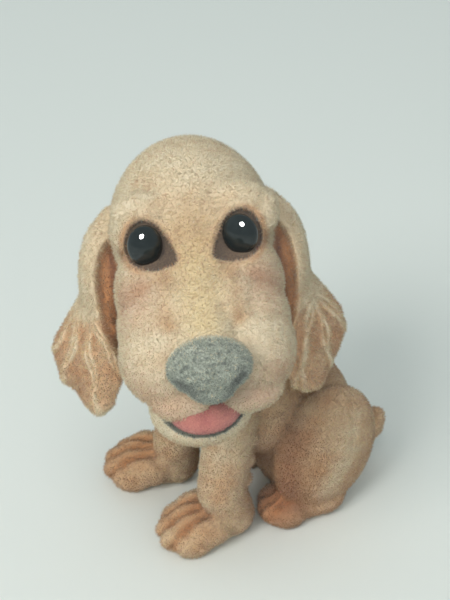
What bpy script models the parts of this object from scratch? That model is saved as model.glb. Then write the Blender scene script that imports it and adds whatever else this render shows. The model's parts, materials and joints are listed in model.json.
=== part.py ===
"""A seated spaniel figurine whose big head nods on a spring neck.

Body and head are hollow castings. Limbs, tail, ears, lower jaw and nose are cast on their own
and glued on with round dowels. Sizes are millimetres and degrees, and MM turns them into metres.
The body faces -Y with the dog's left at +X. The head is designed level, facing -Y about the
middle of its skull, and is then turned to look over the left shoulder.
"""

import math

import bmesh
import bpy
from mathutils import Euler, Matrix, Vector

MM = 0.001

# Fits and walls
GLUE_GAP = 0.3  # between two glued faces, and round a dowel
WALL = 4.5  # of both hollow castings
DOWEL_RADIUS = 2.0
DOWEL_DEPTH = 3.6  # how far a dowel goes into the casting that takes it

# Trunk
RUMP_AT, RUMP_RADII = Vector((0, 13, 25)), Vector((18, 17, 26.5))
SEAT_AT, SEAT_RADII = Vector((0, 15, 10)), Vector((15, 14, 14))
BACK_AT, BACK_RADII = Vector((0, 1, 38)), Vector((15, 17, 17))
CHEST_AT, CHEST_RADII = Vector((0, -14, 48)), Vector((14.5, 14, 20))
SHOULDER_AT, SHOULDER_RADII = Vector((8, -15, 46)), Vector((9, 10, 14))
BACK_TURN = (-25, 0, 0)
DRAIN_RADIUS = 5.0  # the hole in the seat that the casting slip was poured out of

# Neck and spring
NECK_AXIS = Vector((0, -22, 0))
NECK_RADIUS = 8.0
NECK_TOP = 84.0
NECK_ROOT = 12.0  # radius where the neck leaves the chest
PLUG_RADIUS = 5.0
PLUG_DEPTH = 9.0
FLANGE = 2.0  # thickness of the two spring seats
FLANGE_RADIUS = NECK_RADIUS - 1
WIRE = 1.2
COIL_RADIUS = 4.6
COIL_PITCH = 3.0
TURNS = (2.0, 2.25, 1.5)  # lower, middle and upper stretch of the one wire
CLEARANCE = 0.3  # between the spring and its seats
SPIGOT_RADIUS = COIL_RADIUS - WIRE / 2 - CLEARANCE

# Head
HEAD_TURN = 72.5  # to the dog's left
HEAD_LIFT = 10.0  # nose up
HEAD_ROLL = 5.0  # the dog's left ear up
HEAD_FORWARD = 4.0  # from the neck's axis to the middle of the skull
HEAD_HEIGHT = NECK_TOP + 24
SKULL_AT, SKULL_RADII = Vector((0, 2, 0)), Vector((22.3, 25, 26.5))
FACE = SKULL_AT.y - SKULL_RADII.y  # the front of the skull, which every part of the face is placed from
SWING_ROOM = 5.0  # between neck and collar, for the head to nod and tilt together
COLLAR_BORE = NECK_RADIUS + SWING_ROOM
COLLAR_WALL = 3.5
COLLAR_FOOT = NECK_TOP - 7
STEM_RADIUS = 5.0
STEM_BITE = 1.5  # how far the stem goes into the roof of the skull
STEM_SOCKET = 12.0  # depth of the socket round it
BROW_AT, BROW_RADII = Vector((11.5, FACE + 8.5, 17.5)), Vector((8, 6, 4))
TEMPLE_AT, TEMPLE_RADII = Vector((18, FACE + 11, 10)), Vector((4.8, 6, 7))
MASK_AT, MASK_RADII = Vector((11, FACE + 12, 9)), Vector((10, 8.5, 9))
CHEEK_AT, CHEEK_RADII = Vector((11, FACE + 5, -7)), Vector((11, 14, 14))
JOWL_AT, JOWL_RADII = Vector((10.5, FACE - 9, -15)), Vector((13, 14, 14.5))
THROAT_AT, THROAT_RADII = Vector((0, FACE + 11, -20)), Vector((13, 15, 11))
CHIN_AT, CHIN_RADII = Vector((-8, FACE + 3, -28)), Vector((9, 11, 9))
BRIDGE = ((0, FACE + 11, 1, 12), (0, FACE - 15, -12, 8.5))
EYE_RADII = Vector((4.4, 4.6, 5.3))
EYE_AT = Vector((11.9, FACE + 9.8 - EYE_RADII.y, 8.4))
EYE_GAP = 0.3
NOSE_AT, NOSE_RADII = Vector((0, FACE - 25.5, -12.5)), Vector((10, 6, 8.4))
JAW_AT, JAW_RADII = Vector((-3.6, FACE - 6, -33)), Vector((14, 16, 9))
MOUTH_AT, MOUTH_RADII = Vector((-2.4, FACE - 14, -27.5)), Vector((9.5, 12, 5.5))
EAR_LENGTH = 57.0
EAR_TOP = 10.0  # above the middle of the skull
EAR_DROOP = 2.4  # both ears hang plumb though the head leans by HEAD_ROLL
EAR_TWIST = 48.0  # how far the fan is turned to face outwards
EAR_LUMPS = (  # out from the skull's side, y, share of the length, radii, share of the twist
    (-0.3, 2, 0.10, (7, 7, 6), 0),
    (4.2, -1, 0.22, (6.2, 8, 9), 0),
    (5.2, -3.5, 0.42, (6.2, 9, 11), 0.4),
    (7.7, -4, 0.62, (5.2, 12, 13), 0.8),
    (9.2, -4.5, 0.76, (5, 13, 12), 1),
    (7.7, -7, 0.88, (4.5, 9, 8), 1),
)

# Limbs
LEG_RADIUS = 7.7
FOOT_RADIUS = 7.5
TOE_RADIUS = 4.6
THIGH_RADII = Vector((9, 16.5, 24))
THIGH_AT = RUMP_AT + Vector((RUMP_RADII.x - 2, 1, 2))
HIND_TOES = ((-6.2, -13.2), (-3, -15.2), (0.4, -15), (3, -12))  # out and back from the thigh's middle
FORE_TOES = ((-6.2, 14.5), (-2.2, 17.5), (2.4, 17.5), (6.4, 14))  # across and ahead of the heel
LEFT_FORELEG = (Vector((14, -19.5, 20)), Vector((13, -16, FOOT_RADIUS)), -2)  # wrist, heel, splay
RIGHT_FORELEG = (Vector((-13, -24, 20)), Vector((-14.5, -24, FOOT_RADIUS)), 24)
TAIL_RADIUS = 5.2

# Mesh fineness
GRAIN = 1.1  # voxel edge that lumps of clay are fused at
ROUND = 12  # sides of a dowel; a bore has twice as many


# ---------------------------------------------------------------- shaping tools


def frame(at, turn=(0, 0, 0)):
    """Where something stands: millimetres and degrees into a matrix in metres."""
    spin = Euler([math.radians(a) for a in turn]).to_matrix().to_4x4()
    return Matrix.Translation(Vector(at) * MM) @ spin


def object_from(name, bm):
    mesh = bpy.data.meshes.new(name)
    bm.to_mesh(mesh)
    bm.free()
    obj = bpy.data.objects.new(name, mesh)
    bpy.context.scene.collection.objects.link(obj)
    return obj


def apply_modifiers(obj):
    """Keeps what the modifiers made as the object's own mesh."""
    bpy.context.view_layer.update()
    seen = obj.evaluated_get(bpy.context.evaluated_depsgraph_get())
    old, obj.data = obj.data, bpy.data.meshes.new_from_object(seen)
    obj.modifiers.clear()
    bpy.data.meshes.remove(old)
    obj.data.name = obj.name


def lump(bm, at, radii, turn=(0, 0, 0)):
    """One ellipsoid of clay."""
    size = Matrix.Diagonal([*(Vector(radii) * MM), 1])
    bmesh.ops.create_icosphere(bm, subdivisions=3, radius=1, matrix=frame(at, turn) @ size)


def roll(bm, *stations):
    """A tapering roll of clay through stations of (x, y, z, radius)."""
    for a, b in zip(stations, stations[1:]):
        start, end = Vector(a[:3]), Vector(b[:3])
        steps = max(2, math.ceil((end - start).length / (0.4 * min(a[3], b[3]))))
        for i in range(steps + 1):
            share = i / steps
            radius = a[3] + (b[3] - a[3]) * share
            lump(bm, start.lerp(end, share), (radius, radius, radius))


def rod(bm, start, end, radius, sides=2 * ROUND):
    """A round bar from start to end."""
    start, end = Vector(start) * MM, Vector(end) * MM
    along = end - start
    place = Matrix.Translation((start + end) / 2) @ along.to_track_quat("Z", "Y").to_matrix().to_4x4()
    bmesh.ops.create_cone(bm, cap_ends=True, segments=sides, radius1=radius * MM, radius2=radius * MM,
                          depth=along.length, matrix=place)


def fuse(name, bm, triangles, smoothing=4):
    """Runs lumps of clay into one skin, rubs it smooth and thins it to about so many triangles."""
    obj = object_from(name, bm)
    skin = obj.modifiers.new("skin", "REMESH")
    skin.mode = "VOXEL"
    skin.voxel_size = GRAIN * MM
    rub = obj.modifiers.new("rub", "SMOOTH")
    rub.factor, rub.iterations = 0.5, smoothing
    apply_modifiers(obj)
    thin = obj.modifiers.new("thin", "DECIMATE")
    thin.ratio = min(1.0, triangles / (2 * len(obj.data.polygons)))
    thin.use_collapse_triangulate = True
    apply_modifiers(obj)
    return obj


def boolean(obj, other, operation):
    """Applies a cut or a union, and uses up the other object."""
    work = obj.modifiers.new(operation, "BOOLEAN")
    work.object, work.operation, work.solver = other, operation, "EXACT"
    apply_modifiers(obj)
    bpy.data.objects.remove(other)


def cut(obj, bm):
    boolean(obj, object_from("cutter", bm), "DIFFERENCE")


def add(obj, bm):
    boolean(obj, object_from("addition", bm), "UNION")


def grown(obj, gap):
    """A copy of obj whose skin stands out by gap, at its sharp edges too."""
    bm = bmesh.new()
    bm.from_mesh(obj.data)
    steps = [v.normal * gap * MM * min(v.calc_shell_factor(), 2.0) for v in bm.verts]
    for v, step in zip(bm.verts, steps):
        v.co += step
    return object_from("grown", bm)


def keep_largest(obj):
    """Drops the crumbs that a cut leaves beside the main body."""
    bm = bmesh.new()
    bm.from_mesh(obj.data)
    left, best = set(bm.faces), []
    while left:
        island, edge = [], [left.pop()]
        while edge:
            face = edge.pop()
            island.append(face)
            near = {f for e in face.edges for f in e.link_faces} & left
            left -= near
            edge.extend(near)
        best = max(best, island, key=len)
    best = set(best)
    bmesh.ops.delete(bm, geom=[f for f in bm.faces if f not in best], context="FACES")
    bm.to_mesh(obj.data)
    bm.free()


def seat(obj, *hosts):
    """Cuts obj back so that it sits on each host with the glue gap between them."""
    for host in hosts:
        boolean(obj, grown(host, GLUE_GAP), "DIFFERENCE")
    keep_largest(obj)


def dowel(obj, host, inside_obj, inside_host, radius=DOWEL_RADIUS):
    """A round dowel on obj, and its hole in host with the glue gap round it."""
    start, end = Vector(inside_obj), Vector(inside_host)
    along = (end - start).normalized()
    peg = bmesh.new()
    rod(peg, start, end, radius, ROUND)
    add(obj, peg)
    hole = bmesh.new()
    rod(hole, start, end + along * GLUE_GAP, radius + GLUE_GAP, ROUND)
    cut(host, hole)


def flatten(obj, level, below=True):
    """Saws obj off level, keeping what is above the table, or below the neck's top."""
    bm = bmesh.new()
    bm.from_mesh(obj.data)
    normal = Vector((0, 0, -1 if below else 1))
    everything = [*bm.verts, *bm.edges, *bm.faces]
    sawn = bmesh.ops.bisect_plane(bm, geom=everything, dist=1e-6, plane_co=(0, 0, level * MM),
                                  plane_no=normal, clear_outer=True)
    rim = [e for e in sawn["geom_cut"] if isinstance(e, bmesh.types.BMEdge)]
    bmesh.ops.holes_fill(bm, edges=rim)
    bm.to_mesh(obj.data)
    bm.free()


def finish(obj, parent, material):
    """Hangs obj on its parent where it stands, shades it round and paints it."""
    bpy.context.view_layer.update()
    obj.parent = parent
    obj.data.shade_smooth()
    obj.data.set_sharp_from_angle(angle=math.radians(50))
    obj.data.materials.clear()
    obj.data.materials.append(material)


def paint(name, colour, roughness, metallic=0.0):
    material = bpy.data.materials.new(name)
    material.use_nodes = True
    shader = material.node_tree.nodes["Principled BSDF"]
    shader.inputs["Base Color"].default_value = (*colour, 1)
    shader.inputs["Roughness"].default_value = roughness
    shader.inputs["Metallic"].default_value = metallic
    return material


def mirrored(at, side):
    return Vector((at[0] * side, *at[1:]))


# ---------------------------------------------------------------- where the head and spring stand

LEFT, RIGHT = 1, -1
SIDES = ((LEFT, "left"), (RIGHT, "right"))
FACING = Vector((math.sin(math.radians(HEAD_TURN)), -math.cos(math.radians(HEAD_TURN)), 0))
ACROSS = Vector((-FACING.y, FACING.x, 0))  # towards the head's left
HEAD_AT = NECK_AXIS + FACING * HEAD_FORWARD + Vector((0, 0, HEAD_HEIGHT))
HEAD = (frame(HEAD_AT) @ frame((0, 0, 0), (0, 0, HEAD_TURN))
        @ frame((0, 0, 0), (-HEAD_LIFT, 0, 0)) @ frame((0, 0, 0), (0, -HEAD_ROLL, 0)))
FROM_WORLD = HEAD.inverted()
PLUG_TOP = NECK_TOP + FLANGE
SPRING_FOOT = PLUG_TOP + CLEARANCE + WIRE / 2
NOD_HEIGHT = SPRING_FOOT + TURNS[0] * COIL_PITCH
TILT_HEIGHT = NOD_HEIGHT + TURNS[1] * COIL_PITCH
SPRING_HEAD = TILT_HEIGHT + TURNS[2] * COIL_PITCH
STEM_FOOT = SPRING_HEAD + WIRE / 2 + CLEARANCE
SKULL_HOLLOW = SKULL_RADII - Vector((WALL, WALL, WALL))


def above_neck(height):
    """The point of the neck's axis at that height."""
    return NECK_AXIS + Vector((0, 0, height))


def in_head(x, y, z):
    """A world point, in millimetres, as the level head sees it."""
    return FROM_WORLD @ (Vector((x, y, z)) * MM) / MM


def on_neck(height):
    """The point of the neck's axis at that height, as the level head sees it."""
    return in_head(NECK_AXIS.x, NECK_AXIS.y, height)


# ---------------------------------------------------------------- body


def make_torso():
    """The hollow trunk, with the neck stub on top and the drain hole in its seat."""
    bm = bmesh.new()
    lump(bm, RUMP_AT, RUMP_RADII)
    lump(bm, SEAT_AT, SEAT_RADII)
    lump(bm, BACK_AT, BACK_RADII, BACK_TURN)
    lump(bm, CHEST_AT, CHEST_RADII)
    for side, _ in SIDES:
        lump(bm, mirrored(SHOULDER_AT, side), SHOULDER_RADII)
    chest_top = CHEST_AT.z + CHEST_RADII.z
    roll(bm, (NECK_AXIS.x, NECK_AXIS.y + 4, chest_top - 8, NECK_ROOT),
         (NECK_AXIS.x, NECK_AXIS.y, chest_top, NECK_RADIUS + 0.6),
         (NECK_AXIS.x, NECK_AXIS.y, NECK_TOP, NECK_RADIUS))
    torso = fuse("torso", bm, 1300, 6)
    flatten(torso, 0)
    flatten(torso, NECK_TOP, below=False)
    return torso


def hollow_torso(torso):
    """Takes out the inside, the drain hole and the bore for the neck plug."""
    wall = Vector((WALL, WALL, WALL))
    bm = bmesh.new()
    lump(bm, RUMP_AT, RUMP_RADII - wall)
    lump(bm, BACK_AT, BACK_RADII - wall, BACK_TURN)
    lump(bm, CHEST_AT, CHEST_RADII - wall)
    boolean(torso, fuse("hollow", bm, 300), "DIFFERENCE")
    drain = bmesh.new()
    rod(drain, RUMP_AT, (RUMP_AT.x, RUMP_AT.y, -1), DRAIN_RADIUS, ROUND)
    cut(torso, drain)
    bore = bmesh.new()
    rod(bore, above_neck(NECK_TOP - PLUG_DEPTH - GLUE_GAP), above_neck(NECK_TOP + 1), PLUG_RADIUS + GLUE_GAP)
    cut(torso, bore)


def make_hind_leg(side, torso):
    """Thigh folded over the hock, with the foot flat on the table in front of it."""
    bm = bmesh.new()
    lump(bm, mirrored(THIGH_AT, side), THIGH_RADII, (-8, 0, 0))
    hock = mirrored((THIGH_AT.x - 1, THIGH_AT.y + 1, FOOT_RADIUS - 0.5), side)
    instep = mirrored((THIGH_AT.x - 1.5, THIGH_AT.y - 11, FOOT_RADIUS - 2), side)
    roll(bm, (*hock, FOOT_RADIUS), (*instep, FOOT_RADIUS - 1))
    for out, back in HIND_TOES:
        toe = mirrored((THIGH_AT.x + out, THIGH_AT.y + back, TOE_RADIUS), side)
        lump(bm, toe, (TOE_RADIUS * 0.82, TOE_RADIUS * 1.3, TOE_RADIUS))
    name = "hind_leg_left" if side == LEFT else "hind_leg_right"
    leg = fuse(name, bm, 700, 3)
    flatten(leg, 0)
    seat(leg, torso)
    in_thigh = mirrored((THIGH_AT.x + THIGH_RADII.x * 0.6, THIGH_AT.y, THIGH_AT.z), side)
    in_rump = mirrored((RUMP_RADII.x - DOWEL_DEPTH, THIGH_AT.y, THIGH_AT.z), side)
    dowel(leg, torso, in_thigh, in_rump)
    return leg


def make_foreleg(side, torso, wrist, heel, splay):
    """A straight front leg on a broad foot, whose toes point outwards by splay."""
    bm = bmesh.new()
    shoulder = mirrored((SHOULDER_AT.x + 3, SHOULDER_AT.y, SHOULDER_AT.z), side)
    roll(bm, (*shoulder, LEG_RADIUS), (*wrist, LEG_RADIUS * 0.95), (*heel, FOOT_RADIUS))
    ahead = Matrix.Rotation(math.radians(splay * side), 3, "Z") @ Vector((0, -1, 0))
    out = Vector((-ahead.y, ahead.x, 0))
    ball = heel + ahead * 13 - Vector((0, 0, 1.5))
    roll(bm, (*heel, FOOT_RADIUS), (*ball, FOOT_RADIUS - 0.6))
    for across, forward in FORE_TOES:
        toe = heel + ahead * forward + out * across
        toe.z = TOE_RADIUS + 0.4
        lump(bm, toe, (TOE_RADIUS * 0.86, TOE_RADIUS * 1.4, TOE_RADIUS * 1.1), (0, 0, splay * side))
    name = "foreleg_left" if side == LEFT else "foreleg_right"
    leg = fuse(name, bm, 600, 3)
    flatten(leg, 0)
    seat(leg, torso)
    dowel(leg, torso, wrist + Vector((0, 0, 6)), shoulder - Vector((side, 0, 5)))
    return leg


def make_tail(torso):
    """A short docked tail lying on the table behind the seat."""
    bm = bmesh.new()
    back = RUMP_AT.y + RUMP_RADII.y
    roll(bm, (0, back - 6, 10, TAIL_RADIUS), (0, back + 4, 11, TAIL_RADIUS),
         (1, back + 10, 14, TAIL_RADIUS * 0.85))
    tail = fuse("tail", bm, 260, 2)
    seat(tail, torso)
    dowel(tail, torso, (0, back + 3, 11), (0, back - 3 - DOWEL_DEPTH, 11))
    return tail


def make_neck_plug():
    """Turned plug glued in the neck, with the seat and spigot that the spring stands on."""
    bm = bmesh.new()
    rod(bm, above_neck(NECK_TOP - PLUG_DEPTH), above_neck(PLUG_TOP - 0.5), PLUG_RADIUS)
    plug = object_from("neck_plug", bm)
    top = bmesh.new()
    rod(top, above_neck(NECK_TOP + GLUE_GAP), above_neck(PLUG_TOP), FLANGE_RADIUS)
    add(plug, top)
    spigot = bmesh.new()
    rod(spigot, above_neck(PLUG_TOP - 1), above_neck(PLUG_TOP + COIL_PITCH), SPIGOT_RADIUS)
    add(plug, spigot)
    return plug


def make_coil(name, first_turn, turns, foot):
    """One stretch of the spring's wire. Its ends leave half the clearance to the next stretch."""
    trim = CLEARANCE / 2 / COIL_RADIUS
    start = math.radians(HEAD_TURN) + first_turn * math.tau + trim
    sweep = turns * math.tau - 2 * trim
    curve = bpy.data.curves.new(name, "CURVE")
    curve.dimensions, curve.bevel_depth, curve.bevel_resolution = "3D", WIRE / 2 * MM, 1
    curve.use_fill_caps = True
    spline = curve.splines.new("POLY")
    count = math.ceil(turns * 14)
    spline.points.add(count)
    for i, point in enumerate(spline.points):
        angle = start + sweep * i / count
        height = foot + COIL_PITCH * (trim + sweep * i / count) / math.tau
        around = Vector((math.cos(angle), math.sin(angle), 0)) * COIL_RADIUS
        point.co = (*((above_neck(height) + around) * MM), 1)
    obj = bpy.data.objects.new(name, curve)
    bpy.context.scene.collection.objects.link(obj)
    bpy.context.view_layer.update()
    mesh = bpy.data.meshes.new_from_object(obj.evaluated_get(bpy.context.evaluated_depsgraph_get()))
    bpy.data.objects.remove(obj)
    coil = bpy.data.objects.new(name, mesh)
    bpy.context.scene.collection.objects.link(coil)
    return coil


# ---------------------------------------------------------------- head, level, about the middle of the skull


def make_head():
    """Skull, brows, cheeks, muzzle and jowls in one casting, with a collar round the neck."""
    bm = bmesh.new()
    lump(bm, SKULL_AT, SKULL_RADII)
    for side, _ in SIDES:
        lump(bm, mirrored(BROW_AT, side), BROW_RADII)
        lump(bm, mirrored(TEMPLE_AT, side), TEMPLE_RADII)
        lump(bm, mirrored(MASK_AT, side), MASK_RADII)
        lump(bm, mirrored(CHEEK_AT, side), CHEEK_RADII)
        lump(bm, mirrored(JOWL_AT, side), JOWL_RADII)
    roll(bm, *BRIDGE)
    lump(bm, THROAT_AT, THROAT_RADII)
    lump(bm, CHIN_AT, CHIN_RADII)
    collar_radius = COLLAR_BORE + COLLAR_WALL
    foot, top = on_neck(COLLAR_FOOT + 3), on_neck(COLLAR_FOOT + 16)
    roll(bm, (*foot, collar_radius), (*top, collar_radius))
    head = fuse("head_shell", bm, 2000, 4)
    saw = bmesh.new()
    rod(saw, on_neck(COLLAR_FOOT - 30), on_neck(COLLAR_FOOT), collar_radius + 9)
    cut(head, saw)
    return head


def hollow_head(head):
    """The neck bore opens into a hollow skull."""
    bm = bmesh.new()
    lump(bm, SKULL_AT, SKULL_HOLLOW)
    boolean(head, fuse("hollow", bm, 260), "DIFFERENCE")
    bore = bmesh.new()
    rod(bore, on_neck(COLLAR_FOOT - 2), on_neck(HEAD_HEIGHT), COLLAR_BORE)
    cut(head, bore)


def make_jaw(head):
    """The hanging lower jaw, dished where the tongue lies."""
    bm = bmesh.new()
    lump(bm, JAW_AT, JAW_RADII, (-6, 0, 0))
    jaw = fuse("lower_jaw", bm, 320, 2)
    dish = bmesh.new()
    lump(dish, MOUTH_AT, MOUTH_RADII)
    cut(jaw, dish)
    seat(jaw, head)
    in_throat = Vector((JAW_AT.x / 2, JAW_AT.y + 10, JAW_AT.z + 8))
    dowel(jaw, head, JAW_AT - Vector((0, 0, 3)), in_throat)
    return jaw


def make_tongue(head):
    """The tongue fills the gap between the lips."""
    bm = bmesh.new()
    gap = Vector((GLUE_GAP, GLUE_GAP, GLUE_GAP))
    lump(bm, MOUTH_AT, MOUTH_RADII - gap)
    tongue = object_from("tongue", bm)
    seat(tongue, head)
    return tongue


def make_nose(head):
    bm = bmesh.new()
    lump(bm, NOSE_AT + Vector((0, 0, 1)), (NOSE_RADII.x, NOSE_RADII.y, NOSE_RADII.z - 1.4))
    lump(bm, NOSE_AT + Vector((0, 0.6, -3)), (NOSE_RADII.x * 0.66, NOSE_RADII.y, NOSE_RADII.z - 2.6))
    nose = fuse("nose", bm, 220, 2)
    seat(nose, head)
    dowel(nose, head, NOSE_AT, NOSE_AT + Vector((0, NOSE_RADII.y + DOWEL_DEPTH, 1)))
    return nose


def make_ear(side, head):
    """A long ear that leaves the side of the skull, hangs by the cheek and flares outwards."""
    bm = bmesh.new()
    plumb = math.tan(math.radians(EAR_DROOP))
    for out, y, share, radii, twist in EAR_LUMPS:
        down = share * EAR_LENGTH
        at = mirrored((SKULL_RADII.x + out, y, EAR_TOP - down), side) - Vector((plumb * down, 0, 0))
        lump(bm, at, radii, (0, 0, -EAR_TWIST * twist * side))
    name = "ear_left" if side == LEFT else "ear_right"
    ear = fuse(name, bm, 640, 4)
    seat(ear, head)
    height = EAR_TOP - 0.15 * EAR_LENGTH
    in_ear = mirrored((SKULL_RADII.x + 2.2, 1, height), side)
    in_skull = mirrored((SKULL_RADII.x - DOWEL_DEPTH, 1, height), side)
    dowel(ear, head, in_ear, in_skull)
    return ear


def bead(bm, at, radii):
    """A smooth egg with its poles in front and behind."""
    size = Matrix.Diagonal([radii.x * MM, radii.z * MM, radii.y * MM, 1])
    bmesh.ops.create_uvsphere(bm, u_segments=18, v_segments=10, radius=1, matrix=frame(at, (90, 0, 0)) @ size)


def make_eye(side, head):
    """A glossy bead glued in a hole of its own shape."""
    bm, hole = bmesh.new(), bmesh.new()
    bead(bm, mirrored(EYE_AT, side), EYE_RADII)
    eye = object_from("eye_left" if side == LEFT else "eye_right", bm)
    bead(hole, mirrored(EYE_AT, side), EYE_RADII + Vector((EYE_GAP, EYE_GAP, EYE_GAP)))
    cut(head, hole)
    return eye


def make_stem(head):
    """Turned stem hanging from the roof of the skull, with the upper seat of the spring."""
    roof = HEAD_HEIGHT + SKULL_RADII.z - WALL
    bm = bmesh.new()
    rod(bm, on_neck(STEM_FOOT + 0.5), on_neck(roof + STEM_BITE), STEM_RADIUS)
    stem = object_from("head_stem", bm)
    seat_disc = bmesh.new()
    rod(seat_disc, on_neck(STEM_FOOT), on_neck(STEM_FOOT + FLANGE), FLANGE_RADIUS)
    add(stem, seat_disc)
    spigot = bmesh.new()
    rod(spigot, on_neck(STEM_FOOT - COIL_PITCH * 0.8), on_neck(STEM_FOOT + 1), SPIGOT_RADIUS)
    add(stem, spigot)
    socket = bmesh.new()
    rod(socket, on_neck(roof - STEM_SOCKET), on_neck(roof + STEM_BITE + GLUE_GAP), STEM_RADIUS + GLUE_GAP)
    cut(head, socket)
    return stem


# ---------------------------------------------------------------- putting it together


def pivot(name, height, parent):
    """An empty on the neck's axis, lined up with the head's own way across."""
    empty = bpy.data.objects.new(name, None)
    bpy.context.scene.collection.objects.link(empty)
    empty.empty_display_size = 5 * MM
    world = frame(above_neck(height), (0, 0, HEAD_TURN))
    empty.parent = parent
    bpy.context.view_layer.update()
    empty.matrix_world = world
    bpy.context.view_layer.update()
    return empty


def hang(obj, parent, material, modelled_in=None):
    """Parents obj without moving it. A head piece was modelled level, so it first goes to the head."""
    if modelled_in is not None:
        obj.data.transform(modelled_in)
    obj.data.transform(parent.matrix_world.inverted())
    finish(obj, parent, material)


def stand_on_origin():
    """Moves the whole figure so that the middle of its box's foot is the origin."""
    bpy.context.view_layer.update()
    solids = [obj for obj in bpy.context.scene.objects if obj.type == "MESH"]
    points = [obj.matrix_world @ v.co for obj in solids for v in obj.data.vertices]
    low = Vector([min(p[i] for p in points) for i in range(3)])
    high = Vector([max(p[i] for p in points) for i in range(3)])
    middle = (low + high) / 2
    for obj in bpy.context.scene.objects:
        if obj.parent is None:
            obj.location -= Vector((middle.x, middle.y, low.z))


def main():
    for obj in list(bpy.data.objects):
        bpy.data.objects.remove(obj)

    cream = paint("cream_flock", (0.60, 0.50, 0.33), 0.95)
    tan = paint("tan_flock", (0.42, 0.27, 0.15), 0.95)
    grey = paint("grey_flock", (0.26, 0.28, 0.25), 0.95)
    pink = paint("pink_flock", (0.45, 0.20, 0.16), 0.95)
    black = paint("black_bead", (0.03, 0.04, 0.045), 0.12)
    steel = paint("spring_steel", (0.55, 0.55, 0.56), 0.3, 1.0)
    beech = paint("turned_beech", (0.60, 0.42, 0.24), 0.6)

    torso = make_torso()
    body_parts = [
        make_hind_leg(LEFT, torso),
        make_hind_leg(RIGHT, torso),
        make_foreleg(LEFT, torso, *LEFT_FORELEG),
        make_foreleg(RIGHT, torso, *RIGHT_FORELEG),
        make_tail(torso),
    ]
    hollow_torso(torso)

    head = make_head()
    jaw = make_jaw(head)
    tongue = make_tongue(head)
    nose = make_nose(head)
    ears = [make_ear(side, head) for side, _ in SIDES]
    hollow_head(head)
    eyes = [make_eye(side, head) for side, _ in SIDES]
    stem = make_stem(head)

    root = pivot("turn_axis", PLUG_TOP, None)
    nod = pivot("nod_axis", NOD_HEIGHT, root)
    tilt = pivot("tilt_axis", TILT_HEIGHT, nod)

    finish(torso, None, tan)
    for part in body_parts:
        finish(part, None, tan)
    finish(make_neck_plug(), None, beech)
    hang(make_coil("spring_lower", 0, TURNS[0], SPRING_FOOT), root, steel)
    hang(make_coil("spring_middle", TURNS[0], TURNS[1], NOD_HEIGHT), nod, steel)
    hang(make_coil("spring_upper", TURNS[0] + TURNS[1], TURNS[2], TILT_HEIGHT), tilt, steel)
    for part, material in ((head, cream), (jaw, cream), (tongue, pink), (nose, grey), (stem, beech),
                           *((ear, tan) for ear in ears), *((eye, black) for eye in eyes)):
        hang(part, tilt, material, HEAD)
    stand_on_origin()


main()
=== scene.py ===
# %% [markdown]
# # A flocked spaniel whose head nods on a spring
# The figurine is a set of thin castings. The head hangs on a spring in the neck, and every casting
# but the glass eyes wears a coat of flock: short dyed fibres that stand up from wet glue.
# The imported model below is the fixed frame. Its castings are plain, so this lesson models the
# finished clay skins in their places, airbrushes them and then sows the fibres one by one.
# Sizes are millimetres until a piece is finished.

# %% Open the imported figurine
import json
import math

import bmesh
import bpy
import numpy as np
from mathutils import Euler, Matrix, Vector


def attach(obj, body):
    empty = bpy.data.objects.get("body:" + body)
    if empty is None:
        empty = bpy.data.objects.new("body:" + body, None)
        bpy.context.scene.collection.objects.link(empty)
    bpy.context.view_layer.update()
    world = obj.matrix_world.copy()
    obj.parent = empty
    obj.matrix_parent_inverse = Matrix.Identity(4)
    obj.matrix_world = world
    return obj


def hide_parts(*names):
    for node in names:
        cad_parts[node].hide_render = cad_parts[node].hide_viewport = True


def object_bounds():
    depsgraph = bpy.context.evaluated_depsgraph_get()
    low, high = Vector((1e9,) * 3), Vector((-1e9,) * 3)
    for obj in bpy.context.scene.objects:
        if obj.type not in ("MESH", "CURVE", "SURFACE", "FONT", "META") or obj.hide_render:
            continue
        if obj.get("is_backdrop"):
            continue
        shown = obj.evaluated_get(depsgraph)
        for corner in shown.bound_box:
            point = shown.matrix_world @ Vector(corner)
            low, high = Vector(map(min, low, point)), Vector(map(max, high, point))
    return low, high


MM = 0.001
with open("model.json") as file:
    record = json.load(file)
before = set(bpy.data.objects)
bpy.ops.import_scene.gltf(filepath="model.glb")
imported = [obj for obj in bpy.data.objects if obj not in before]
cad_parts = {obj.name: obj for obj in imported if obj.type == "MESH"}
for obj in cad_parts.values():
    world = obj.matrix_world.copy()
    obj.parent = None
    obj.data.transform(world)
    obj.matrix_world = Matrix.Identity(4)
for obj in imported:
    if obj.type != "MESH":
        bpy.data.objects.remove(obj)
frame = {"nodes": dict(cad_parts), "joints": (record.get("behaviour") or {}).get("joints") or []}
cad_box = [list(corner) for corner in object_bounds()]
joints = {joint["name"]: joint for joint in frame["joints"]}

# %% [markdown]
# ## Where the body and the head stand
# Two frames are handy for shaping: the body's, which faces -Y, and the level head's, which faces -Y
# about the middle of its skull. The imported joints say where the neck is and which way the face
# looks, so both frames start from them. The skull's height, lift and roll are the casting's own.

# %% Build the two shaping frames
NECK_AHEAD = 22.0  # the neck stands this far in front of the body's middle
HEAD_HEIGHT = 108.0  # of the point that the head is turned and rolled about
HEAD_FORWARD = 4.0  # from the neck's axis to the middle of the skull
HEAD_LIFT = 10.0  # nose up, degrees
HEAD_ROLL = 5.0  # the dog's left ear up


def stand(at, turn=(0, 0, 0)):
    """Where something stands: millimetres and degrees into a matrix."""
    spin = Euler([math.radians(angle) for angle in turn]).to_matrix().to_4x4()
    return Matrix.Translation(at) @ spin


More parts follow.
